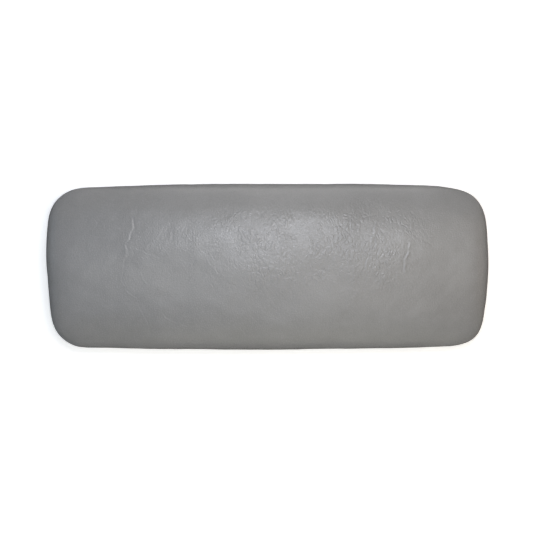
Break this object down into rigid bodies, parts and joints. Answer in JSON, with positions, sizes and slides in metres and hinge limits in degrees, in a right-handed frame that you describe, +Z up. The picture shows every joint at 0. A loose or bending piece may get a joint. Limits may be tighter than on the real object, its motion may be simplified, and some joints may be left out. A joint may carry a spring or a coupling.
{
  "type": "chair armrest pad",
  "caption": "Upholstered armrest pad, a bowed rectangle with a crowned top: vinyl over foam on a plywood board, with threaded inserts for bolts from below.",
  "frame": {"origin": "middle of the flat underside, which is the under cover's lower face", "axes": "+X along the pad's length, +Y across it, +Z up through the crowned top"},
  "size_m": [0.254, 0.0952, 0.0317],
  "materials": {
    "vinyl": "satin",
    "foam": "matte",
    "plywood": "matte",
    "staple_wire": "satin",
    "black_plastic": "matte",
    "black_screws": "satin",
    "zinc_steel": "satin"
  },
  "bodies": {
    "root": {"vinyl_cover": "vinyl", "foam_cushion": "foam", "plywood_board": "plywood", "cover_staples": "staple_wire", "under_cover": "black_plastic", "under_cover_screws": "black_screws", "t_nut_1": "zinc_steel", "t_nut_2": "zinc_steel", "t_nut_3": "zinc_steel", "t_nut_4": "zinc_steel"}
  },
  "joints": []
}
